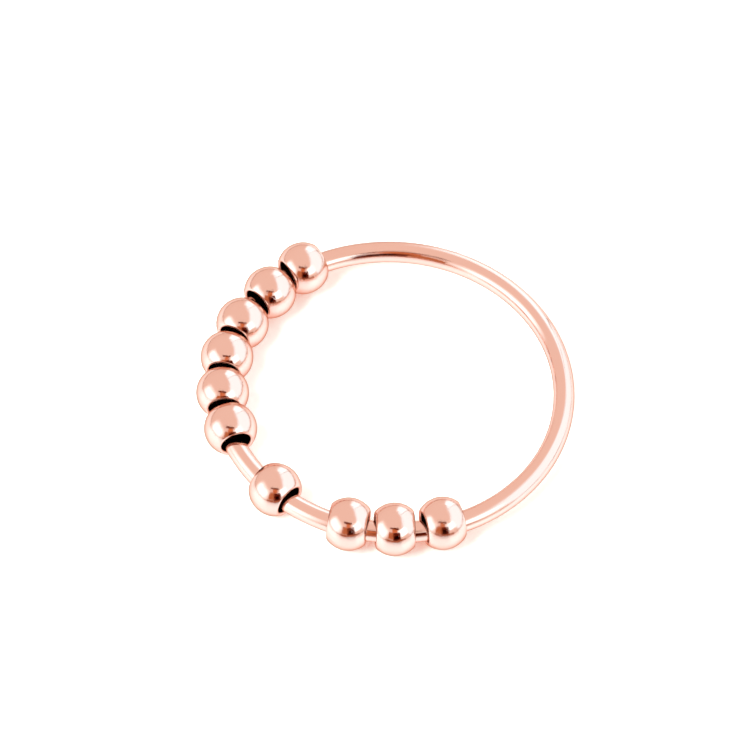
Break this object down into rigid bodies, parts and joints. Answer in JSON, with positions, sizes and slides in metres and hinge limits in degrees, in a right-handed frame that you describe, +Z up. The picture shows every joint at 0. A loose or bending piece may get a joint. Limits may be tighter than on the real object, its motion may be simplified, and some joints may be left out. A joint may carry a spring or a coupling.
{
  "type": "beaded ring",
  "caption": "Finger ring of round wire with loose hollow beads that slide round it.",
  "frame": {"origin": "on the finger hole's axis, in the surface that the ring lies on", "axes": "+Z up from the surface, +Y away from the picture's camera, +X towards the free stretch of wire"},
  "size_m": [0.0214, 0.0214, 0.003],
  "materials": {
    "wire": "polished rose-gold plating",
    "bead": "polished rose-gold plating, dark inside"
  },
  "bodies": {
    "wire": {"wire_ring": "wire"},
    "bead_01": {"bead_01": "bead"},
    "bead_02": {"bead_02": "bead"},
    "bead_03": {"bead_03": "bead"},
    "bead_04": {"bead_04": "bead"},
    "bead_05": {"bead_05": "bead"},
    "bead_06": {"bead_06": "bead"},
    "bead_07": {"bead_07": "bead"},
    "bead_08": {"bead_08": "bead"},
    "bead_09": {"bead_09": "bead"},
    "bead_10": {"bead_10": "bead"}
  },
  "joints": [
    {"name": "row_travel", "type": "hinge", "parent": "wire", "child": "bead_01", "pos_m": [0, 0, 0], "axis": [0, 0, 1], "continuous": true},
    {"name": "bead_02_travel", "type": "hinge", "parent": "bead_01", "child": "bead_02", "pos_m": [0, 0, 0], "axis": [0, 0, 1], "range_deg": [-1, 20]},
    {"name": "bead_03_travel", "type": "hinge", "parent": "bead_02", "child": "bead_03", "pos_m": [0, 0, 0], "axis": [0, 0, 1], "range_deg": [-1.5, 20]},
    {"name": "bead_04_travel", "type": "hinge", "parent": "bead_03", "child": "bead_04", "pos_m": [0, 0, 0], "axis": [0, 0, 1], "range_deg": [-0.15, 20]},
    {"name": "bead_05_travel", "type": "hinge", "parent": "bead_04", "child": "bead_05", "pos_m": [0, 0, 0], "axis": [0, 0, 1], "range_deg": [-0.4, 20]},
    {"name": "bead_06_travel", "type": "hinge", "parent": "bead_05", "child": "bead_06", "pos_m": [0, 0, 0], "axis": [0, 0, 1], "range_deg": [-0.35, 20]},
    {"name": "bead_07_travel", "type": "hinge", "parent": "bead_06", "child": "bead_07", "pos_m": [0, 0, 0], "axis": [0, 0, 1], "range_deg": [-14.4, 20]},
    {"name": "bead_08_travel", "type": "hinge", "parent": "bead_07", "child": "bead_08", "pos_m": [0, 0, 0], "axis": [0, 0, 1], "range_deg": [-13, 20]},
    {"name": "bead_09_travel", "type": "hinge", "parent": "bead_08", "child": "bead_09", "pos_m": [0, 0, 0], "axis": [0, 0, 1], "range_deg": [-1.2, 20]},
    {"name": "bead_10_travel", "type": "hinge", "parent": "bead_09", "child": "bead_10", "pos_m": [0, 0, 0], "axis": [0, 0, 1], "range_deg": [-1.9, 20]}
  ]
}
